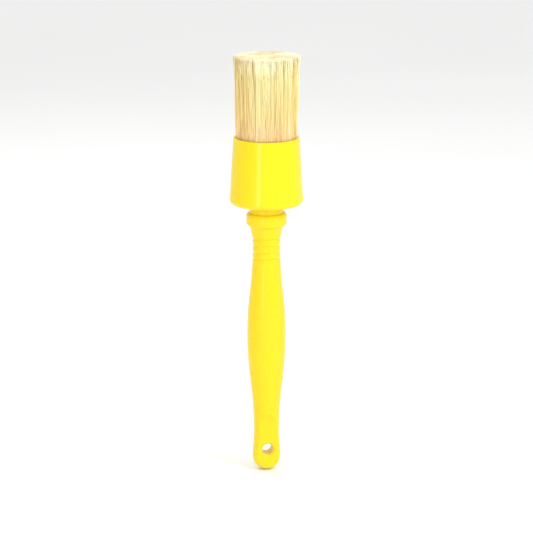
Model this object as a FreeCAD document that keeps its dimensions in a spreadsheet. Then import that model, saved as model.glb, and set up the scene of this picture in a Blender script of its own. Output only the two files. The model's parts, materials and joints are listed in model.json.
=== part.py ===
"""Round natural-bristle wheel brush: moulded handle, tapered ferrule, resin-set root and tufts.

Millimetres, +Z along the brush axis towards the bristle tips. The origin is the centre of the
ferrule's flat underside, where the brush rests on a rack. The handle hangs below it.
"""
import FreeCAD
import Part
import Sketcher
import math
import os

# Driving dimensions. Heights are above the ferrule's underside and drops are below it.
SIZES = {
    # ferrule: a tapered cup, wider at its foot, with a hole in its floor
    "mouth_height": 40.0,
    "mouth_outer_radius": 19.5,
    "mouth_bore_radius": 18.1,
    "rim_round": 0.6,
    "foot_outer_radius": 21.8,
    "foot_round": 3.0,
    "cavity_foot_radius": 19.3,
    "floor_height": 3.6,
    "recess_height": 0.8,
    "recess_radius": 12.6,
    # handle: spigot in the ferrule, collar, gripped swell and flattened tail
    "fit_gap": 0.05,
    "spigot_radius": 8.0,
    "spigot_height": 16.0,
    "spigot_chamfer": 0.8,
    "nose_radius": 6.0,
    "nose_height": 21.0,
    "snap_height": 5.1,
    "snap_half_width": 1.2,
    "snap_rise": 0.6,
    "neck_radius": 10.0,
    "neck_drop": 5.0,
    "collar_radius": 12.0,
    "collar_round": 2.0,
    "collar_land": 4.0,
    "waist_drop": 25.0,
    "waist_radius": 8.2,
    "swell_drop": 80.0,
    "swell_radius": 11.5,
    "tail_drop": 140.0,
    "tail_radius": 7.6,
    "end_drop": 156.0,
    "end_radius": 8.4,
    "ring_drop": 21.0,
    "ring_section": 1.2,
    "ring_depth": 0.45,
    "ring_pitch": 4.0,
    "ring_count": 4,
    "flat_half_thickness": 5.5,
    "flat_drop": 136.0,
    "flat_runout": 9.0,
    "flat_runout_depth": 3.3,
    "flat_clearance": 8.0,
    "flat_edge_round": 0.8,
    "hang_hole_radius": 3.5,
    "hang_hole_drop": 151.0,
    "hang_hole_chamfer": 0.8,
    # root of the bristles, held in the ferrule round the plug
    "plug_top_radius": 5.2,
    "plug_top_height": 36.0,
    "resin_bore_radius": 9.0,
    "resin_height": 22.0,
    # tufts above the mouth: a core, an inner ring and an outer ring of equal sectors
    "sector_count": 12,
    "tuft_foot_height": 40.3,
    "tip_height": 88.0,
    "tip_flare": 1.055,
    "side_gap": 0.15,
    "core_radius": 5.7,
    "inner_tuft_near": 6.0,
    "inner_tuft_far": 11.8,
    "outer_tuft_near": 12.1,
    "outer_tuft_radius": 17.8,
}

SAME_POINT = 1e-6
SAME_SIZE = 1e-3
FULL_TURN = 360.0
UPRIGHT = FreeCAD.Vector(0, 0, 1)

# How a sketch constraint names the sketch's own axes and origin, and the points of a geometry
ACROSS_AXIS = -1
UP_AXIS = -2
ORIGIN = (-1, 1)
FIRST_END = 1
SECOND_END = 2
CENTRE = 3

doc = FreeCAD.newDocument("wheel_brush")
sheet = doc.addObject("Spreadsheet::Sheet", "sizes")
for row, (size_name, size) in enumerate(SIZES.items(), start=1):
    sheet.set(f"A{row}", str(size))
    sheet.setAlias(f"A{row}", size_name)
doc.recompute()


def amount(words):
    """The value of a sum of named sizes, written as 'one + two - three', or of '0'."""
    if words == "0":
        return 0.0
    total = 0.0
    sign = 1
    for word in words.split():
        if word in ("+", "-"):
            sign = 1 if word == "+" else -1
        else:
            total += sign * SIZES[word]
    return total


def formula(words):
    """The same sum as an expression on the sheet."""
    return " ".join(word if word in ("+", "-") else f"sizes.{word}" for word in words.split())


def plain_bend(words, side):
    """An arc whose radius is a sum of sizes; side is 1 where it turns left, -1 where it turns right."""
    return amount(words), formula(words), side


def fair_bend(along, across, arcs, side):
    """An arc that starts or ends parallel to the axis, over the given travel along and across it.

    With arcs=2 it is one half of an S of two equal tangent arcs that make the whole travel.
    """
    reach, shift = abs(amount(along)), abs(amount(across))
    radius = (reach**2 + shift**2) / (2 * arcs * shift)
    along, across = formula(along), formula(across)
    words = f"(({along})^2 + ({across})^2) / ({2 * arcs} * abs({across}))"
    return radius, words, side


def add_size(name, value, words):
    """Adds to the sheet a size that follows from others, by its value and its expression."""
    if name in SIZES:
        return name
    SIZES[name] = value
    row = len(SIZES)
    sheet.set(f"A{row}", f"={words}")
    sheet.setAlias(f"A{row}", name)
    doc.recompute()
    return name


def middle_of(first, second):
    """The name of the size midway between two others."""
    value = (SIZES[first] + SIZES[second]) / 2
    return add_size(f"{first}_to_{second}", value, f"({first} + {second}) / 2")


def cavity_radius(height):
    """The name of the radius that fills the ferrule's tapered cavity at a height, less the fit gap."""
    taper = (SIZES["mouth_bore_radius"] - SIZES["cavity_foot_radius"]) / (
        SIZES["mouth_height"] - SIZES["floor_height"]
    )
    rise = SIZES[height] - SIZES["floor_height"]
    return add_size(
        f"cavity_at_{height}",
        SIZES["cavity_foot_radius"] + taper * rise - SIZES["fit_gap"],
        "cavity_foot_radius - fit_gap + (mouth_bore_radius - cavity_foot_radius)"
        f" * ({height} - floor_height) / (mouth_height - floor_height)",
    )


def origin_plane(body, role):
    """The body's own origin plane of that role."""
    return next(plane for plane in body.Origin.OriginFeatures if plane.Role == role)


def new_body(name):
    """An empty body with that name and label."""
    body = doc.addObject("PartDesign::Body", name)
    body.Label = name
    return body


def new_sketch(body, name, role, height=None):
    """A sketch on one of the body's origin planes, raised along its normal by a named size."""
    sketch = body.newObject("Sketcher::SketchObject", f"{body.Name}_{name}")
    sketch.AttachmentSupport = (origin_plane(body, role), [""])
    sketch.MapMode = "FlatFace"
    if height:
        sketch.setExpression("AttachmentOffset.Base.z", formula(height))
    doc.recompute()
    return sketch


def arc_between(start, end, radius, side):
    """The shorter arc of that radius from start to end, with its centre on the given side."""
    chord = end - start
    middle = (start + end) / 2
    offset = math.sqrt(max(radius**2 - (chord.Length / 2) ** 2, 0.0))
    left = FreeCAD.Vector(-chord.y, chord.x, 0).normalize()
    centre = middle + left * offset * side
    away = (middle - centre) if offset > SAME_POINT else left * -side
    through = centre + away.normalize() * radius
    return Part.Arc(start, through, end)


def bind(sketch, constraint, words):
    """Adds a constraint whose value follows an expression."""
    index = sketch.addConstraint(constraint)
    sketch.setExpression(f"Constraints[{index}]", words)


def pin(sketch, geometry, end, across, up):
    """Holds a point at two sums of sizes, or on the axis where one is '0'."""
    for kind, axis, words in (("DistanceX", UP_AXIS, across), ("DistanceY", ACROSS_AXIS, up)):
        if words == "0":
            sketch.addConstraint(Sketcher.Constraint("PointOnObject", geometry, end, axis))
        else:
            held = Sketcher.Constraint(kind, *ORIGIN, geometry, end, amount(words))
            bind(sketch, held, formula(words))


def add_circle(sketch, across, up, radius):
    """A circle of a named radius with its centre at two sums of sizes."""
    centre = FreeCAD.Vector(amount(across), amount(up), 0)
    circle = sketch.addGeometry(Part.Circle(centre, UPRIGHT, amount(radius)), False)
    bind(sketch, Sketcher.Constraint("Radius", circle, amount(radius)), formula(radius))
    pin(sketch, circle, CENTRE, across, up)
    doc.recompute()


def outline(sketch, corners):
    """A closed outline. Each corner is (across, up) or (across, up, bend), the bend of its next edge."""
    points = [FreeCAD.Vector(amount(across), amount(up), 0) for across, up, *_ in corners]
    joins = []
    for number, corner in enumerate(corners):
        start, end = points[number], points[(number + 1) % len(points)]
        if len(corner) == 2:
            edge = sketch.addGeometry(Part.LineSegment(start, end), False)
            joins.append((edge, FIRST_END, SECOND_END))
            continue
        radius, words, side = corner[2]
        edge = sketch.addGeometry(arc_between(start, end, radius, side), False)
        forward = sketch.getPoint(edge, FIRST_END).distanceToPoint(start) < SAME_POINT
        ends = (FIRST_END, SECOND_END) if forward else (SECOND_END, FIRST_END)
        joins.append((edge, *ends))
        bind(sketch, Sketcher.Constraint("Radius", edge, radius), words)
    for number, (edge, first, _) in enumerate(joins):
        before, _, last = joins[number - 1]
        sketch.addConstraint(Sketcher.Constraint("Coincident", before, last, edge, first))
        pin(sketch, edge, first, *corners[number][:2])
    doc.recompute()


def turned(name, corners):
    """A body turned about Z from an outline of radius and height."""
    body = new_body(name)
    sketch = new_sketch(body, "profile", "XZ_Plane")
    outline(sketch, corners)
    turn = body.newObject("PartDesign::Revolution", f"{name}_turn")
    turn.Profile = sketch
    turn.ReferenceAxis = (sketch, ["V_Axis"])
    turn.Angle = FULL_TURN
    doc.recompute()
    return body


def make_ferrule():
    """The tapered cup: flat underside with a recess for the neck, rounded foot and thin lip."""
    return turned(
        "ferrule",
        [
            ("recess_radius", "0"),
            ("foot_outer_radius - foot_round", "0", plain_bend("foot_round", 1)),
            ("foot_outer_radius", "foot_round"),
            ("mouth_outer_radius", "mouth_height - rim_round", plain_bend("rim_round", 1)),
            ("mouth_outer_radius - rim_round", "mouth_height"),
            ("mouth_bore_radius", "mouth_height"),
            ("cavity_foot_radius", "floor_height"),
            ("spigot_radius + fit_gap", "floor_height"),
            ("spigot_radius + fit_gap", "recess_height"),
            ("recess_radius", "recess_height"),
        ],
    )


def handle_profile():
    """Nose, spigot with its snap bead, neck, collar, waist, gripped swell and rounded tail."""
    snap_bend = fair_bend("snap_half_width", "snap_rise", 1, -1)
    collar_low = "- neck_drop - collar_round - collar_land"
    waist_along = "waist_drop - neck_drop - collar_round - collar_land - collar_round"
    swell_along, swell_across = "swell_drop - waist_drop", "swell_radius - waist_radius"
    tail_along, tail_across = "tail_drop - swell_drop", "swell_radius - tail_radius"
    end_along, end_across = "end_drop - tail_drop", "end_radius - tail_radius"
    return [
        ("0", "nose_height"),
        ("nose_radius", "nose_height"),
        ("nose_radius", "spigot_height"),
        ("spigot_radius - spigot_chamfer", "spigot_height"),
        ("spigot_radius", "spigot_height - spigot_chamfer"),
        ("spigot_radius", "snap_height + snap_half_width", snap_bend),
        ("spigot_radius", "snap_height - snap_half_width"),
        ("spigot_radius", "recess_height - fit_gap"),
        ("neck_radius", "recess_height - fit_gap"),
        ("neck_radius", "- neck_drop", plain_bend("collar_round", -1)),
        ("collar_radius", "- neck_drop - collar_round"),
        ("collar_radius", collar_low, plain_bend("collar_round", -1)),
        (
            "collar_radius - collar_round",
            f"{collar_low} - collar_round",
            fair_bend(waist_along, "neck_radius - waist_radius", 1, 1),
        ),
        ("waist_radius", "- waist_drop", fair_bend(swell_along, swell_across, 2, 1)),
        (
            middle_of("waist_radius", "swell_radius"),
            f"- {middle_of('waist_drop', 'swell_drop')}",
            fair_bend(swell_along, swell_across, 2, -1),
        ),
        ("swell_radius", "- swell_drop", fair_bend(tail_along, tail_across, 2, -1)),
        (
            middle_of("swell_radius", "tail_radius"),
            f"- {middle_of('swell_drop', 'tail_drop')}",
            fair_bend(tail_along, tail_across, 2, 1),
        ),
        ("tail_radius", "- tail_drop", fair_bend(end_along, end_across, 2, 1)),
        (
            middle_of("tail_radius", "end_radius"),
            f"- {middle_of('tail_drop', 'end_drop')}",
            fair_bend(end_along, end_across, 2, -1),
        ),
        ("end_radius", "- end_drop", plain_bend("end_radius", -1)),
        ("0", "- end_drop - end_radius"),
    ]


def cut_rings(body):
    """Shallow round-bottomed finger rings at the waist."""
    sketch = new_sketch(body, "ring", "XZ_Plane")
    add_circle(sketch, "waist_radius + ring_section - ring_depth", "- ring_drop", "ring_section")
    groove = body.newObject("PartDesign::Groove", "handle_ring")
    groove.Profile = sketch
    groove.ReferenceAxis = (sketch, ["V_Axis"])
    groove.Angle = FULL_TURN
    doc.recompute()
    row = body.newObject("PartDesign::LinearPattern", "handle_rings")
    row.Originals = [groove]
    row.Direction = (sketch, ["V_Axis"])
    row.Reversed = True
    row.setExpression("Length", "sizes.ring_pitch * (sizes.ring_count - 1)")
    row.setExpression("Occurrences", "sizes.ring_count")
    body.Tip = row
    doc.recompute()


def cut_flats(body):
    """Two flats on the tail, each run out into the round handle by an arc."""
    sketch = new_sketch(body, "flat", "YZ_Plane")
    far = "flat_half_thickness + flat_clearance"
    below = "- end_drop - end_radius - flat_clearance"
    outline(
        sketch,
        [
            ("flat_half_thickness", below),
            (far, below),
            (far, "- flat_drop + flat_runout"),
            (
                "flat_half_thickness + flat_runout_depth",
                "- flat_drop + flat_runout",
                fair_bend("flat_runout", "flat_runout_depth", 1, 1),
            ),
            ("flat_half_thickness", "- flat_drop"),
        ],
    )
    pocket = body.newObject("PartDesign::Pocket", "handle_flat")
    pocket.Profile = sketch
    pocket.Type = "ThroughAll"
    pocket.SideType = "Symmetric"
    doc.recompute()
    pair = body.newObject("PartDesign::Mirrored", "handle_flats")
    pair.Originals = [pocket]
    pair.MirrorPlane = (origin_plane(body, "XZ_Plane"), [""])
    body.Tip = pair
    doc.recompute()


def edges_where(shape, wanted):
    """The names of the edges whose box is wanted."""
    edges = enumerate(shape.Edges, start=1)
    return [f"Edge{number}" for number, edge in edges if wanted(edge.BoundBox)]


def round_a_flat(box):
    """Whether a box holds an edge that bounds one of the tail's flats, below its run-out."""
    on_flat = abs(abs(box.YMin) - SIZES["flat_half_thickness"]) < SAME_SIZE
    return on_flat and box.YLength < SAME_SIZE < box.ZLength


def round_the_hole(box):
    """Whether a box holds one of the hang hole's two rims."""
    width = 2 * SIZES["hang_hole_radius"]
    return max(abs(box.XLength - width), abs(box.ZLength - width)) < SAME_SIZE


def cut_hang_hole(body):
    """The hole through the tail, chamfered at both faces."""
    sketch = new_sketch(body, "hole", "XZ_Plane")
    add_circle(sketch, "0", "- hang_hole_drop", "hang_hole_radius")
    hole = body.newObject("PartDesign::Pocket", "handle_hang_hole")
    hole.Profile = sketch
    hole.Type = "ThroughAll"
    hole.SideType = "Symmetric"
    doc.recompute()
    chamfer = body.newObject("PartDesign::Chamfer", "handle_hole_chamfer")
    chamfer.Base = (hole, edges_where(hole.Shape, round_the_hole))
    chamfer.setExpression("Size", formula("hang_hole_chamfer"))
    doc.recompute()


def make_handle():
    """The moulded handle, from the nose inside the ferrule to the flattened tail."""
    body = turned("handle", handle_profile())
    volume = body.Shape.Volume
    for cut in (cut_rings, cut_flats):
        cut(body)
        if body.Shape.Volume >= volume:
            raise RuntimeError(f"{cut.__name__} removed nothing")
        volume = body.Shape.Volume
    flats = body.Tip
    softened = body.newObject("PartDesign::Fillet", "handle_flat_edges")
    softened.Base = (flats, edges_where(flats.Shape, round_a_flat))
    softened.setExpression("Radius", formula("flat_edge_round"))
    doc.recompute()
    cut_hang_hole(body)
    return body


def make_plug():
    """The tapered plug that spreads the bristles, sitting over the spigot's nose."""
    return turned(
        "core_plug",
        [
            ("0", "nose_height + fit_gap"),
            ("nose_radius + fit_gap", "nose_height + fit_gap"),
            ("nose_radius + fit_gap", "spigot_height + fit_gap"),
            ("spigot_radius", "spigot_height + fit_gap"),
            ("plug_top_radius", "plug_top_height"),
            ("0", "plug_top_height"),
        ],
    )


def make_resin():
    """The set resin round the spigot, which holds every bristle's root."""
    return turned(
        "resin_set",
        [
            ("resin_bore_radius", "floor_height + fit_gap"),
            ("cavity_foot_radius - fit_gap", "floor_height + fit_gap"),
            (cavity_radius("resin_height"), "resin_height"),
            ("resin_bore_radius", "resin_height"),
        ],
    )


def make_bristle_base():
    """The gripped length of the bristles, from the resin to the ferrule's mouth."""
    return turned(
        "bristle_base",
        [
            ("resin_bore_radius", "resin_height + fit_gap"),
            ("cavity_at_resin_height", "resin_height + fit_gap"),
            ("mouth_bore_radius - fit_gap", "mouth_height"),
            ("0", "mouth_height"),
            ("0", "plug_top_height + fit_gap"),
            ("plug_top_radius + fit_gap", "plug_top_height + fit_gap"),
        ],
    )


def make_core_tuft():
    """The upright middle of the bristles."""
    body = new_body("core_tuft")
    cone = body.newObject("PartDesign::AdditiveCone", "core_tuft_cone")
    cone.setExpression("Radius1", formula("core_radius"))
    cone.setExpression("Radius2", "sizes.core_radius * sizes.tip_flare")
    cone.setExpression("Height", formula("tip_height - tuft_foot_height"))
    cone.setExpression("AttachmentOffset.Base.z", formula("tuft_foot_height"))
    cone.AttachmentSupport = (origin_plane(body, "XY_Plane"), [""])
    cone.MapMode = "FlatFace"
    doc.recompute()
    return body


def sector_corners(near, far, scale, round_back):
    """The corners of a sector's section, and where its back crosses the middle line."""
    half = math.pi / SIZES["sector_count"]
    gap = SIZES["side_gap"] / math.cos(half)
    front_x, back = SIZES[near] * scale, SIZES[far] * scale
    swing = half - math.asin(SIZES["side_gap"] / back)
    back_x = back * math.cos(swing) if round_back else back
    front_y, back_y = (x * math.tan(half) - gap for x in (front_x, back_x))
    corners = [(front_x, front_y), (front_x, -front_y), (back_x, -back_y), (back_x, back_y)]
    return [FreeCAD.Vector(x, y, 0) for x, y in corners], FreeCAD.Vector(back, 0, 0)


def hold_sides(sketch, low):
    """Turns a sector's low side half a sector from the middle line, and sets it in by the gap."""
    half = math.pi / SIZES["sector_count"]
    tilt = Sketcher.Constraint("Angle", ACROSS_AXIS, FIRST_END, low, FIRST_END, -half)
    bind(sketch, tilt, "-180 deg / sizes.sector_count")
    aside = Sketcher.Constraint("Distance", *ORIGIN, low, SIZES["side_gap"])
    bind(sketch, aside, formula("side_gap"))


def hold_back(sketch, rear, low, high, reach, words):
    """Holds a sector's round back about the axis, with its sides alike."""
    sketch.addConstraint(Sketcher.Constraint("Coincident", rear, CENTRE, *ORIGIN))
    sketch.addConstraint(Sketcher.Constraint("Equal", low, high))
    bind(sketch, Sketcher.Constraint("Radius", rear, reach), words)


def hold_flat(sketch, edge, reach, words):
    """Holds a sector's flat edge square across the middle line, at a reach from the axis."""
    even = Sketcher.Constraint("Symmetric", edge, FIRST_END, edge, SECOND_END, ACROSS_AXIS)
    sketch.addConstraint(even)
    bind(sketch, Sketcher.Constraint("DistanceX", *ORIGIN, edge, FIRST_END, reach), words)


def sector_section(body, name, height, near, far, flare, round_back):
    """One section of a tuft: near edge flat, sides along the sector, back round or flat."""
    sketch = new_sketch(body, name, "XY_Plane", height)
    scale = SIZES["tip_flare"] if flare else 1.0
    stretch = " * sizes.tip_flare" if flare else ""
    corners, crown = sector_corners(near, far, scale, round_back)
    ends = zip(corners, corners[1:] + corners[:1])
    front_line, low_line, rear_line, high_line = (Part.LineSegment(*pair) for pair in ends)
    if round_back:
        rear_line = Part.Arc(rear_line.StartPoint, crown, rear_line.EndPoint)
    front, low, rear, high = (
        sketch.addGeometry(line, False) for line in (front_line, low_line, rear_line, high_line)
    )
    for first, second in ((front, low), (low, rear), (rear, high), (high, front)):
        sketch.addConstraint(
            Sketcher.Constraint("Coincident", first, SECOND_END, second, FIRST_END)
        )
    hold_flat(sketch, front, corners[0].x, f"sizes.{near}{stretch}")
    if round_back:
        hold_back(sketch, rear, low, high, crown.x, f"sizes.{far}{stretch}")
    else:
        hold_flat(sketch, rear, crown.x, f"sizes.{far}{stretch}")
    hold_sides(sketch, low)
    doc.recompute()
    return sketch


def make_tuft(ring, number, near, far, round_back):
    """One sector of a ring of bristles, lofted from the mouth to the slightly flared tips."""
    body = new_body(f"{ring}_tuft_{number + 1:02d}")
    foot = sector_section(body, "foot", "tuft_foot_height", near, far, False, round_back)
    tips = sector_section(body, "tips", "tip_height", near, far, True, round_back)
    loft = body.newObject("PartDesign::AdditiveLoft", f"{body.Name}_loft")
    loft.Profile = foot
    loft.Sections = [tips]
    loft.Ruled = True
    turn = number * FULL_TURN / SIZES["sector_count"]
    body.Placement = FreeCAD.Placement(FreeCAD.Vector(), FreeCAD.Rotation(UPRIGHT, turn))
    doc.recompute()
    return body


bodies = [
    make_handle(),
    make_ferrule(),
    make_plug(),
    make_resin(),
    make_bristle_base(),
    make_core_tuft(),
]
for sector in range(SIZES["sector_count"]):
    bodies.append(make_tuft("inner", sector, "inner_tuft_near", "inner_tuft_far", False))
    bodies.append(make_tuft("outer", sector, "outer_tuft_near", "outer_tuft_radius", True))

doc.recompute()
for item in doc.Objects:
    if "Invalid" in item.State or "Error" in item.State:
        raise RuntimeError(f"{item.Name} did not build")
for body in bodies:
    if body.Shape.isNull() or not body.Shape.isValid() or len(body.Shape.Solids) != 1:
        raise RuntimeError(f"{body.Label} is not one sound solid")

os.makedirs("parts", exist_ok=True)
for body in bodies:
    body.Shape.exportStep(f"parts/{body.Label}.step")
    print(f"{body.Label}: {body.Shape.Volume:.1f} mm3")
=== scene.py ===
import json
import math

import bpy
import numpy as np
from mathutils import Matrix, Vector
from mathutils.bvhtree import BVHTree


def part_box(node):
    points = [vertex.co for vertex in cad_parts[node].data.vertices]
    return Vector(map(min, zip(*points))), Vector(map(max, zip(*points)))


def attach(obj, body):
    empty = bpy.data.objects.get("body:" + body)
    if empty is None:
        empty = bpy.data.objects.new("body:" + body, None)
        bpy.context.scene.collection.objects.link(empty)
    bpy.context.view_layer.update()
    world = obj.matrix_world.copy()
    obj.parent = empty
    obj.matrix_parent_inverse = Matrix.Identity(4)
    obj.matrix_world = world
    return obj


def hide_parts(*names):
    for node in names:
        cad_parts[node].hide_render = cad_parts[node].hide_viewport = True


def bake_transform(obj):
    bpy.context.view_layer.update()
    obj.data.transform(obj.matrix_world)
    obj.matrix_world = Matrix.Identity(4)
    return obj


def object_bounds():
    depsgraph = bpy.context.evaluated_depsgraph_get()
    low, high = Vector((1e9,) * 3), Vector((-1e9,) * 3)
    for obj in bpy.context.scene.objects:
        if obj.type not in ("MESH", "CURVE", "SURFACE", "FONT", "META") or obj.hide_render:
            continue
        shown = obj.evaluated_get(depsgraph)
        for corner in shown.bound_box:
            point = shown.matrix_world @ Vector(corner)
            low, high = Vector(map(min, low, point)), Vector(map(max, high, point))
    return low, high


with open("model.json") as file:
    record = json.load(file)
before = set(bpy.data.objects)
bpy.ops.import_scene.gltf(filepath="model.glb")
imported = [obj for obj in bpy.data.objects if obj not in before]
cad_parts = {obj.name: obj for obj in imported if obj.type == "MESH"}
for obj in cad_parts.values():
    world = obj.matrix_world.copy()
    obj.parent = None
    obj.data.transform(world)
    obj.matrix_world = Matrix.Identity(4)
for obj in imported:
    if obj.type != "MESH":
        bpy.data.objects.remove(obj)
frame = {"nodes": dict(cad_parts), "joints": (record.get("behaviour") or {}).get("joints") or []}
cad_low, cad_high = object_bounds()

MM = 0.001
# The seed also places the darker locks of bristle. It was chosen so that one falls on the camera's left,
# as painted shade on the side away from the key light
SEED = 430

# The brush as the frame gives it
PIVOTS = {joint["child"]: joint["pos_m"] for joint in frame["joints"]}
SECTORS = sum(name.startswith("outer_") for name in PIVOTS)
PACK_RADIUS = PIVOTS["outer_01"][0]
INNER_FLAT = PIVOTS["inner_01"][0]
CORE_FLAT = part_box("inner_tuft_01")[0].x
MOUTH_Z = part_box("ferrule")[1].z
TIP_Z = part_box("outer_tuft_01")[1].z
TIP_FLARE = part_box("outer_tuft_01")[1].x / PACK_RADIUS

# Bristles: how they are packed, and the tube that each one is
ROOT_Z = MOUTH_Z - 3.0 * MM
BORE_GAP = 0.15 * MM
STRAND_SPACING = 0.255 * MM
STRAND_RADIUS = 0.13 * MM
STRAND_TIP_SHARE = 0.95
STRAND_RINGS = 9
STRAND_SIDES = 4
FLAG_SPREAD = 0.26 * MM
FLAG_SHARES = np.array([0.7, 0.65, 0.55])

# Bristles gather in clumps, and clumps in locks
CLUMP_SPACING = 2.1 * MM
LOCK_SPACING = 7.5 * MM
CLUMP_LEAN = 0.26 * MM
LOCK_LEAN = 0.45 * MM
CLUMP_RISE = 0.12 * MM
CLUMP_PULL = (0.02, 0.20)
CLUMP_TINT = (-0.14, 0.14)
# Locks differ in tone at random. A darker lock on the camera's left is also painted shade
LOCK_TINT_AND_SHADE = (-0.5, 0.16)
SIDE_FAN = (0.36, 0.60)
RING_FAN = (0.2, 0.5)
CORE_FAN = 0.12

# How one bristle differs from the next
BOW = 0.32 * MM
WANDER = 0.38 * MM
STRAY_SHARE = 0.010
STRAY_REACH = 3.0
SHORTFALL = (1.6, 0.13 * MM)
TINT_SHAPE = (2.6, 1.5)

# The bend from the mouth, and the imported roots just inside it
PACK_DEPTH = 2.2 * MM
PACK_ROUGHNESS = 0.35 * MM
PACK_LIFT = 0.2 * MM
PACK_RINGS = 26
PACK_SPOKES = 96

# The parting line on each side of the handle, from under the collar to the tail
SEAM_HALF_WIDTH = 0.22 * MM
SEAM_RISE = 0.07 * MM
SEAM_SECTIONS = 260
SEAM_TAPER_SECTIONS = 6
SEAM_TOP_Z = -13.5 * MM
SEAM_END_GAP = 2.0 * MM

# The studio
FLOOR_HALF = 4.0
FLOOR_GAP = 0.05 * MM
FLOOR_WHITE = (0.92, 0.92, 0.915)
SURROUND = [(0.0, (0.84, 0.84, 0.835)), (0.2, (0.90, 0.90, 0.90)), (1.0, (0.95, 0.95, 0.95))]
CAMERA_SIDE = -10.0
CAMERA_RISE = 9.5
CAMERA_DISTANCE = 1.30
CAMERA_LENS = 150.0


# ---------------------------------------------------------------- materials

def new_material(name):
    """A node material, its tree and its Principled shader."""
    material = bpy.data.materials.new(name)
    material.use_nodes = True
    tree = material.node_tree
    return material, tree, tree.nodes["Principled BSDF"]


def add(tree, kind, **values):
    """A node of that kind with its named properties or inputs set."""
    node = tree.nodes.new(kind)
    for key, value in values.items():
        if key in node.inputs:
            node.inputs[key].default_value = value
        else:
            setattr(node, key, value)
    return node


def noise(tree, scale, detail=3.0, stretch=(1.0, 1.0, 1.0)):
    """Noise over the object's own space, stretched along its axes."""
    place = add(tree, "ShaderNodeTexCoord")
    mapping = add(tree, "ShaderNodeMapping")
    mapping.inputs["Scale"].default_value = stretch
    texture = add(tree, "ShaderNodeTexNoise", Scale=scale, Detail=detail)
    tree.links.new(place.outputs["Object"], mapping.inputs["Vector"])
    tree.links.new(mapping.outputs["Vector"], texture.inputs["Vector"])
    return texture.outputs["Fac"]


def ramp(tree, source, stops):
    """A colour ramp over source; stops are (position, colour)."""
    node = add(tree, "ShaderNodeValToRGB")
    elements = node.color_ramp.elements
    while len(elements) < len(stops):
        elements.new(0.5)
    for element, (position, colour) in zip(elements, stops):
        element.position = position
        element.color = (*colour, 1.0)
    tree.links.new(source, node.inputs["Fac"])
    return node.outputs["Color"]


def spread(tree, source, low, high, from_low=0.3, from_high=0.7):
    """Source mapped to the range low to high."""
    node = add(tree, "ShaderNodeMapRange")
    node.inputs["From Min"].default_value = from_low
    node.inputs["From Max"].default_value = from_high
    node.inputs["To Min"].default_value = low
    node.inputs["To Max"].default_value = high
    tree.links.new(source, node.inputs["Value"])
    return node.outputs["Result"]


def mix(tree, factor, first, second, blend="MIX"):
    """A mix of two colours, each a socket or a constant."""
    node = add(tree, "ShaderNodeMix", data_type="RGBA", blend_type=blend)
    sockets = (node.inputs[0], node.inputs[6], node.inputs[7])
    for socket, value in zip(sockets, (factor, first, second)):
        if isinstance(value, bpy.types.NodeSocket):
            tree.links.new(value, socket)
        elif isinstance(value, tuple):
            socket.default_value = (*value, 1.0)
        else:
            socket.default_value = value
    return node.outputs[2]


def bump(tree, shader, layers):
    """Bump from several heights; layers are (height socket, distance, strength)."""
    normal = None
    for height, distance, strength in layers:
        node = add(tree, "ShaderNodeBump", Distance=distance, Strength=strength)
        tree.links.new(height, node.inputs["Height"])
        if normal is not None:
            tree.links.new(normal, node.inputs["Normal"])
        normal = node.outputs["Normal"]
    tree.links.new(normal, shader.inputs["Normal"])


def yellow_plastic(name, light, deep, low_rough, high_rough):
    """Moulded polypropylene: mottled a little in the flow, orange peel, fine scuffs."""
    material, tree, shader = new_material(name)
    flow = noise(tree, 28.0, 3.0, (1.0, 1.0, 0.6))
    colour = ramp(tree, flow, [(0.3, deep), (0.7, light)])
    tree.links.new(colour, shader.inputs["Base Color"])
    scuffs = noise(tree, 260.0, 4.0, (1.0, 1.0, 0.5))
    tree.links.new(spread(tree, scuffs, low_rough, high_rough), shader.inputs["Roughness"])
    peel = noise(tree, 700.0, 2.0)
    bump(tree, shader, [(flow, 0.00006, 0.25), (peel, 0.00001, 0.3)])
    shader.inputs["IOR"].default_value = 1.49
    shader.inputs["Specular IOR Level"].default_value = 0.32
    return material


def bristle_material(name):
    """Natural bristle: tan at the root, paler to the tip, each hair of its own tint. The near-white tips
    are partly a painted highlight on the top of the head.
    """
    material, tree, shader = new_material(name)
    along = add(tree, "ShaderNodeAttribute", attribute_name="along").outputs["Fac"]
    tint = add(tree, "ShaderNodeAttribute", attribute_name="tint").outputs["Fac"]
    body = ramp(
        tree,
        along,
        [
            (0.0, (0.86, 0.62, 0.34)),
            (0.08, (0.96, 0.77, 0.44)),
            (0.40, (0.99, 0.89, 0.46)),
            (0.80, (0.99, 0.95, 0.54)),
            # Near-white tips: paler flagged ends, and partly a painted highlight where the top of the
            # head catches the light
            (1.0, (1.0, 0.99, 0.76)),
        ],
    )
    # The dark tint is partly painted shade: a warm darker tone for the shaded side of the head
    dark, middle, light = (0.82, 0.62, 0.38), (0.96, 0.88, 0.76), (1.0, 1.0, 1.0)
    shade = ramp(tree, tint, [(0.0, dark), (0.4, middle), (0.8, light)])
    tree.links.new(mix(tree, 1.0, body, shade, "MULTIPLY"), shader.inputs["Base Color"])
    shader.inputs["Roughness"].default_value = 0.42
    shader.inputs["Specular IOR Level"].default_value = 0.35
    return material


def resin_material():
    """Set resin: clouded amber."""
    material, tree, shader = new_material("resin_amber")
    cloud = noise(tree, 160.0, 5.0)
    colour = ramp(tree, cloud, [(0.3, (0.30, 0.15, 0.03)), (0.7, (0.52, 0.30, 0.09))])
    tree.links.new(colour, shader.inputs["Base Color"])
    tree.links.new(spread(tree, cloud, 0.14, 0.3), shader.inputs["Roughness"])
    return material


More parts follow.
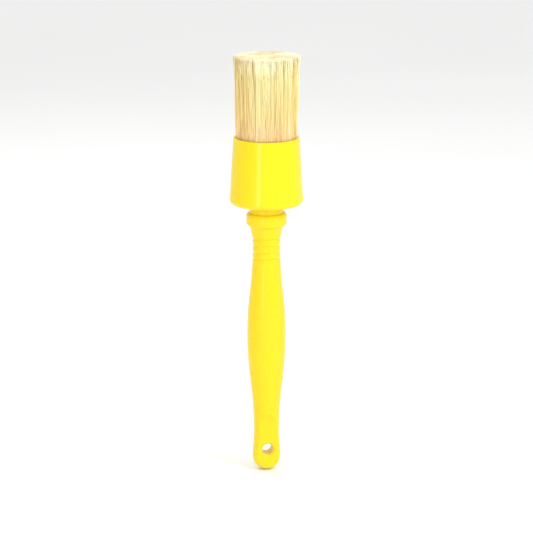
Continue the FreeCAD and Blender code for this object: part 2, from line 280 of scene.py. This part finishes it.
def plug_material():
    """Recycled black plastic of the hidden plug."""
    material, tree, shader = new_material("plug_black")
    grain = noise(tree, 500.0, 4.0)
    colour = ramp(tree, grain, [(0.3, (0.012, 0.012, 0.013)), (0.7, (0.03, 0.03, 0.032))])
    tree.links.new(colour, shader.inputs["Base Color"])
    tree.links.new(spread(tree, grain, 0.45, 0.65), shader.inputs["Roughness"])
    bump(tree, shader, [(grain, 0.00008, 0.4)])
    return material


def floor_material():
    """Plain pale studio floor, clouded a very little."""
    material, tree, shader = new_material("studio_floor")
    cloud = noise(tree, 3.0, 2.0)
    low = tuple(channel * 0.985 for channel in FLOOR_WHITE)
    tree.links.new(ramp(tree, cloud, [(0.3, low), (0.7, FLOOR_WHITE)]), shader.inputs["Base Color"])
    shader.inputs["Roughness"].default_value = 0.7
    return material


# ---------------------------------------------------------------- bristles

def hex_disc(random, radius, spacing, jitter):
    """Points on a shaken hexagonal grid that fill a disc."""
    rows = int(radius / spacing * 1.2) + 2
    steps = np.arange(-rows, rows + 1)
    column, row = np.meshgrid(steps, steps)
    across = (column + 0.5 * (row % 2)) * spacing
    up = row * spacing * math.sqrt(3) / 2
    points = np.stack([across.ravel(), up.ravel()], axis=1)
    points += random.uniform(-jitter, jitter, points.shape) * spacing
    return points[np.hypot(points[:, 0], points[:, 1]) <= radius]


def tuft_of(points):
    """The tuft that each point belongs to: its ring (0 core, 1 inner, 2 outer) and its sector."""
    step = 2 * math.pi / SECTORS
    angle = np.arctan2(points[:, 1], points[:, 0])
    sector = np.round(angle / step).astype(int) % SECTORS
    along = points[:, 0] * np.cos(sector * step) + points[:, 1] * np.sin(sector * step)
    ring = (along >= CORE_FLAT).astype(int) + (along >= INNER_FLAT)
    return ring, sector


def nearest_of(points, centres):
    """The number of the centre nearest to each point."""
    apart = points[:, None, :] - centres[None, :, :]
    return np.hypot(apart[:, :, 0], apart[:, :, 1]).argmin(axis=1)


def fan(flat, free, turn, stretch):
    """Turns each path about the brush's axis and stretches its radius, more and more towards its tip."""
    rise = free ** 1.4
    angle = turn[:, None] * rise[None, :]
    scale = 1.0 + stretch[:, None] * rise[None, :]
    cos, sin = np.cos(angle) * scale, np.sin(angle) * scale
    x, y = flat[:, :, 0], flat[:, :, 1]
    return np.stack([x * cos - y * sin, x * sin + y * cos], axis=2)


def bristle_paths(random):
    """Every bristle's line, (count, rings, 3), its place along, tint, ring and sector.

    Clumps shape the lines, but a bristle belongs to the tuft that its own root stands in, so that a
    tuft that leans alone takes few bristles through its neighbours.
    """
    roots = hex_disc(random, PACK_RADIUS + BORE_GAP, STRAND_SPACING, 0.42)
    clumps = hex_disc(random, PACK_RADIUS + 0.6 * MM, CLUMP_SPACING, 0.36)
    locks = hex_disc(random, PACK_RADIUS + 2.0 * MM, LOCK_SPACING, 0.3)
    count = len(roots)
    nearest = nearest_of(roots, clumps)
    lock = nearest_of(clumps, locks)
    ring, sector = tuft_of(clumps)
    lock_lean = random.normal(0.0, LOCK_LEAN, locks.shape)
    # Random tone per lock, partly painted shade where a darker lock sits on the camera's left
    lock_tint_and_shade = random.uniform(*LOCK_TINT_AND_SHADE, len(locks))
    clump_lean = random.normal(0.0, CLUMP_LEAN, clumps.shape) + lock_lean[lock]
    clump_rise = random.normal(0.0, CLUMP_RISE, len(clumps))
    clump_tint = random.uniform(*CLUMP_TINT, len(clumps)) + lock_tint_and_shade[lock]
    pull = random.uniform(*CLUMP_PULL, count)
    bow = random.normal(0.0, BOW, (count, 2))
    wander = random.normal(0.0, WANDER, (count, 2))
    stray = random.uniform(0, 1, count) < STRAY_SHARE
    wander[stray] *= STRAY_REACH
    length = TIP_Z - ROOT_Z
    rise = clump_rise[nearest] - random.gamma(*SHORTFALL, count)
    share = np.linspace(0.0, 1.0, STRAND_RINGS) ** 0.9
    free = np.clip((share * length - (MOUTH_Z - ROOT_Z)) / (TIP_Z - MOUTH_Z), 0.0, 1.0)
    flare = 1.0 + (TIP_FLARE - 1.0) * free ** 1.3
    flat = roots[:, None, :] * flare[None, :, None]
    to_clump = (clumps[nearest] - roots)[:, None, :] * pull[:, None, None]
    flat = flat + to_clump * (free ** 1.5)[None, :, None]
    flat = flat + clump_lean[nearest][:, None, :] * (free ** 1.8)[None, :, None]
    flat = flat + bow[:, None, :] * np.sin(free * math.pi)[None, :, None]
    flat = flat + wander[:, None, :] * (free ** 2.2)[None, :, None]
    turn, stretch = clump_fan(random, clumps, ring, sector)
    flat = fan(flat, free, turn[nearest], stretch[nearest])
    height = ROOT_Z + share[None, :] * (length + rise)[:, None]
    paths = np.concatenate([flat, height[:, :, None]], axis=2)
    tint = np.clip(random.beta(*TINT_SHAPE, count) + clump_tint[nearest], 0.0, 1.0)
    own_ring, own_sector = tuft_of(roots)
    return paths, share, tint, own_ring, own_sector


def clump_fan(random, clumps, ring, sector):
    """How far each outer clump leans sideways towards the next tuft, and each clump in or out."""
    step = 2 * math.pi / SECTORS
    off = np.arctan2(clumps[:, 1], clumps[:, 0]) - sector * step
    off = (off + math.pi) % (2 * math.pi) - math.pi
    turn = np.where(ring == 2, off * random.uniform(*SIDE_FAN, len(clumps)), 0.0)
    radius = np.maximum(np.hypot(clumps[:, 0], clumps[:, 1]), MM)
    middle = np.array([0.0, (CORE_FLAT + INNER_FLAT) / 2, (INNER_FLAT + PACK_RADIUS) / 2])[ring]
    stretch = random.uniform(*RING_FAN, len(clumps)) * (radius - middle) / radius
    stretch = np.where(ring == 2, np.minimum(stretch, 0.0), stretch)
    stretch = np.where(ring == 0, CORE_FAN, stretch)
    return turn, stretch


def flagged_ends(random, paths):
    """The fine split ends beside each bristle's tip: (count, rings, 3) lines of their own."""
    count = len(paths)
    body, tip = paths[:, -3], paths[:, -1]
    aside = random.normal(0.0, FLAG_SPREAD, (count, 3))
    aside[:, 2] = -np.abs(aside[:, 2]) * 2.0
    ends = tip + aside
    middle = (body + ends) / 2
    middle[:, :2] += aside[:, :2] * 0.25
    return np.stack([body, middle, ends], axis=1)


def tubes(paths, radius, spin):
    """The points and faces of thin tubes with flat ends, and which faces are round."""
    count, rings = paths.shape[:2]
    turn = 2 * math.pi * np.arange(STRAND_SIDES) / STRAND_SIDES
    angle = spin[:, None] + turn[None, :]
    around = np.stack([np.cos(angle), np.sin(angle), np.zeros_like(angle)], axis=2)
    points = paths[:, :, None, :] + around[:, None, :, :] * radius[None, :, None, None]
    base = (np.arange(count) * rings * STRAND_SIDES)[:, None, None]
    ring = (np.arange(rings - 1) * STRAND_SIDES)[None, :, None]
    side = np.arange(STRAND_SIDES)[None, None, :]
    low, low_next = base + ring + side, base + ring + (side + 1) % STRAND_SIDES
    quads = np.stack([low, low_next, low_next + STRAND_SIDES, low + STRAND_SIDES], axis=3)
    caps = base[:, :, 0] + (rings - 1) * STRAND_SIDES + np.arange(STRAND_SIDES)[None, :]
    feet = base[:, :, 0] + np.arange(STRAND_SIDES)[None, ::-1]
    quads = quads.reshape(-1, 4)
    faces = np.concatenate([quads, caps, feet])
    return points.reshape(-1, 3), faces, np.arange(len(faces)) < len(quads)


def strand_mesh(name, paths, share, flags, tint, spin):
    """One mesh of bristles with their split ends, each point with its place along and its tint."""
    radius = STRAND_RADIUS * (1.0 - (1.0 - STRAND_TIP_SHARE) * share ** 1.5)
    points, faces, rounded = tubes(paths, radius, spin)
    flag_points, flag_faces, flag_rounded = tubes(flags, STRAND_RADIUS * FLAG_SHARES, spin)
    flag_share = np.array([share[-3], share[-2], 1.0])
    count = len(paths)
    along = [np.tile(np.repeat(place, STRAND_SIDES), count) for place in (share, flag_share)]
    shade = [np.repeat(tint, len(place) * STRAND_SIDES) for place in (share, flag_share)]
    mesh = bpy.data.meshes.new(name)
    every_face = np.concatenate([faces, flag_faces + len(points)])
    mesh.from_pydata(np.concatenate([points, flag_points]).tolist(), [], every_face.tolist())
    mesh.polygons.foreach_set("use_smooth", np.concatenate([rounded, flag_rounded]))
    mesh.attributes.new("along", "FLOAT", "POINT").data.foreach_set("value", np.concatenate(along))
    mesh.attributes.new("tint", "FLOAT", "POINT").data.foreach_set("value", np.concatenate(shade))
    piece = bpy.data.objects.new(name, mesh)
    bpy.context.scene.collection.objects.link(piece)
    return piece


def make_bristles(material):
    """The bristles as a core and two rings of tufts, each tuft bending from the ferrule's mouth."""
    random = np.random.default_rng(SEED)
    paths, share, tint, ring, sector = bristle_paths(random)
    flags = flagged_ends(random, paths)
    spin = random.uniform(0, 2 * math.pi, len(paths))
    groups = {"core": ring == 0}
    for number in range(SECTORS):
        groups[f"inner_{number + 1:02d}"] = (ring == 1) & (sector == number)
        groups[f"outer_{number + 1:02d}"] = (ring == 2) & (sector == number)
    for group, members in groups.items():
        name = f"bristles_{group}"
        mine = (paths[members], share, flags[members], tint[members], spin[members])
        piece = strand_mesh(name, *mine)
        piece.data.materials.append(material)
        if group == "core":
            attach(piece, "brush")
            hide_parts("core_tuft")
            continue
        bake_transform(piece)
        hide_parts(group.replace("_", "_tuft_"))


def make_root_pack(material):
    """The packed bristles just inside the mouth, seen only between the tufts when they part."""
    random = np.random.default_rng(SEED + 1)
    floor_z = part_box("bristle_base")[0].z + PACK_LIFT
    rings, spokes = PACK_RINGS, PACK_SPOKES
    radius = np.linspace(0.0, PACK_RADIUS + BORE_GAP, rings)
    points, faces = [(0.0, 0.0, MOUTH_Z - PACK_DEPTH)], []
    for ring in range(1, rings):
        for spoke in range(spokes):
            turn = 2 * math.pi * (spoke + 0.5 * (ring % 2)) / spokes
            height = MOUTH_Z - PACK_DEPTH + random.uniform(-PACK_ROUGHNESS, PACK_ROUGHNESS)
            points.append((radius[ring] * math.cos(turn), radius[ring] * math.sin(turn), height))
    for spoke in range(spokes):
        faces.append((0, 1 + spoke, 1 + (spoke + 1) % spokes))
    for ring in range(1, rings - 1):
        inner, outer = 1 + (ring - 1) * spokes, 1 + ring * spokes
        for spoke in range(spokes):
            after = (spoke + 1) % spokes
            faces.append((inner + spoke, outer + spoke, outer + after, inner + after))
    rim = 1 + (rings - 2) * spokes
    foot = len(points)
    for spoke in range(spokes):
        x, y, _ = points[rim + spoke]
        points.append((x, y, floor_z))
    for spoke in range(spokes):
        after = (spoke + 1) % spokes
        faces.append((rim + spoke, foot + spoke, foot + after, rim + after))
    faces.append(tuple(foot + spoke for spoke in reversed(range(spokes))))
    mesh = bpy.data.meshes.new("bristle_roots")
    mesh.from_pydata(points, [], faces)
    piece = bpy.data.objects.new("bristle_roots", mesh)
    bpy.context.scene.collection.objects.link(piece)
    mesh.attributes.new("along", "FLOAT", "POINT").data.foreach_set("value", [0.03] * len(points))
    shades = random.uniform(0.0, 0.8, len(points))
    mesh.attributes.new("tint", "FLOAT", "POINT").data.foreach_set("value", shades)
    mesh.materials.append(material)
    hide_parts("bristle_base")
    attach(piece, "brush")


# ---------------------------------------------------------------- handle details

def surface_of(node):
    """A tree that finds where a ray meets a CAD node."""
    mesh = frame["nodes"][node].data
    points = [vertex.co.copy() for vertex in mesh.vertices]
    return BVHTree.FromPolygons(points, [tuple(face.vertices) for face in mesh.polygons])


def make_seam(tree, name, side, top, bottom, material):
    """The raised parting line down one side of the handle, a fine half-round that follows it."""
    width, rise, sections = SEAM_HALF_WIDTH, SEAM_RISE, SEAM_SECTIONS
    path = []
    for height in np.linspace(top, bottom, sections):
        hit, _, _, _ = tree.ray_cast(Vector((side * 0.1, 0.0, height)), Vector((-side, 0.0, 0.0)))
        path.append(hit)
    shoulder = 0.6 * rise
    left = [(-width, -shoulder), (-0.5 * width, shoulder)]
    profile = [*left, (0, rise), (0.5 * width, shoulder), (width, -shoulder)]
    points, faces = [], []
    for place, hit in enumerate(path):
        before, after = path[max(place - 1, 0)], path[min(place + 1, sections - 1)]
        run = (after - before).normalized()
        out = Vector((side, 0, 0))
        out = (out - run * out.dot(run)).normalized()
        taper = min(1.0, min(place, sections - 1 - place) / SEAM_TAPER_SECTIONS)
        for across, up in profile:
            points.append(hit + Vector((0, across, 0)) + out * (up * taper - (1 - taper) * rise))
    wide = len(profile)
    for place in range(sections - 1):
        for edge in range(wide - 1):
            first = place * wide + edge
            quad = (first, first + 1, first + wide + 1, first + wide)
            faces.append(quad if side > 0 else quad[::-1])
    mesh = bpy.data.meshes.new(name)
    mesh.from_pydata([tuple(point) for point in points], [], faces)
    mesh.shade_smooth()
    mesh.materials.append(material)
    piece = bpy.data.objects.new(name, mesh)
    bpy.context.scene.collection.objects.link(piece)
    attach(piece, "brush")


# ---------------------------------------------------------------- studio

def around_head(azimuth, elevation, distance):
    """A place seen from the brush's head: azimuth 0 is towards -Y, 90 towards +X."""
    turn, rise = math.radians(azimuth), math.radians(elevation)
    flat = distance * math.cos(rise)
    head_z = (MOUTH_Z + TIP_Z) / 2
    return Vector((math.sin(turn) * flat, -math.cos(turn) * flat, head_z + distance * math.sin(rise)))


def area_light(name, place, target, size, power, colour=(1.0, 1.0, 1.0)):
    """A soft rectangular light that faces the target."""
    data = bpy.data.lights.new(name, "AREA")
    data.shape = "RECTANGLE"
    data.size, data.size_y = size
    data.energy = power
    data.color = colour
    lamp = bpy.data.objects.new(name, data)
    lamp.location = place
    lamp.rotation_euler = (Vector(target) - Vector(place)).to_track_quat("-Z", "Y").to_euler()
    bpy.context.scene.collection.objects.link(lamp)


def make_studio():
    """A wide pale floor under the tail, soft lights and a pale surround."""
    size = FLOOR_HALF
    low = cad_low.z - FLOOR_GAP
    corners = [(-size, -size, low), (size, -size, low), (size, size, low), (-size, size, low)]
    mesh = bpy.data.meshes.new("floor")
    mesh.from_pydata(corners, [], [(0, 1, 2, 3)])
    mesh.materials.append(floor_material())
    floor = bpy.data.objects.new("floor", mesh)
    bpy.context.scene.collection.objects.link(floor)
    head = (0, 0, MOUTH_Z)
    area_light("key", around_head(CAMERA_SIDE + 55, 30, 1.0), head, (0.35, 0.8), 4.8, (1.0, 0.99, 0.97))
    area_light("front", around_head(CAMERA_SIDE + 12, 20, 1.2), head, (0.9, 0.9), 2.0)
    area_light("strip", around_head(CAMERA_SIDE - 24, 4, 0.9), (0, 0, 0), (0.09, 0.6), 1.5)
    area_light("back", around_head(CAMERA_SIDE + 200, 35, 1.1), head, (0.8, 0.5), 2.0)
    world = bpy.data.worlds.new("surround")
    world.use_nodes = True
    background = world.node_tree.nodes["Background"]
    place = add(world.node_tree, "ShaderNodeTexCoord")
    height = add(world.node_tree, "ShaderNodeSeparateXYZ")
    world.node_tree.links.new(place.outputs["Generated"], height.inputs["Vector"])
    grey = ramp(world.node_tree, height.outputs["Z"], SURROUND)
    world.node_tree.links.new(grey, background.inputs["Color"])
    bpy.context.scene.world = world
    bpy.context.scene.view_settings.view_transform = "Standard"


def make_camera():
    """A long lens that looks down on the brush's head by the photograph's angle."""
    place = around_head(CAMERA_SIDE, CAMERA_RISE, CAMERA_DISTANCE)
    data = bpy.data.cameras.new("camera")
    data.lens = CAMERA_LENS
    camera = bpy.data.objects.new("camera", data)
    camera.location = place
    camera.rotation_euler = ((cad_low + cad_high) / 2 - place).to_track_quat("-Z", "Y").to_euler()
    bpy.context.scene.collection.objects.link(camera)
    bpy.context.scene.camera = camera


# ---------------------------------------------------------------- the object

def paint(node, material):
    """Gives a CAD node its material."""
    mesh = frame["nodes"][node].data
    mesh.materials.clear()
    mesh.materials.append(material)


make_studio()
make_camera()

ferrule_yellow = yellow_plastic("ferrule_yellow", (0.82, 0.645, 0.006), (0.81, 0.625, 0.005), 0.16, 0.27)
handle_yellow = yellow_plastic("handle_yellow", (0.82, 0.62, 0.006), (0.805, 0.595, 0.005), 0.20, 0.32)
bristle = bristle_material("bristle_natural")

paint("ferrule", ferrule_yellow)
paint("handle", handle_yellow)
paint("core_plug", plug_material())
paint("resin_set", resin_material())

make_bristles(bristle)
make_root_pack(bristle)

handle_tree = surface_of("handle")
seam_low = cad_low.z + SEAM_END_GAP
make_seam(handle_tree, "handle_seam_right", 1, SEAM_TOP_Z, seam_low, handle_yellow)
make_seam(handle_tree, "handle_seam_left", -1, SEAM_TOP_Z, seam_low, handle_yellow)
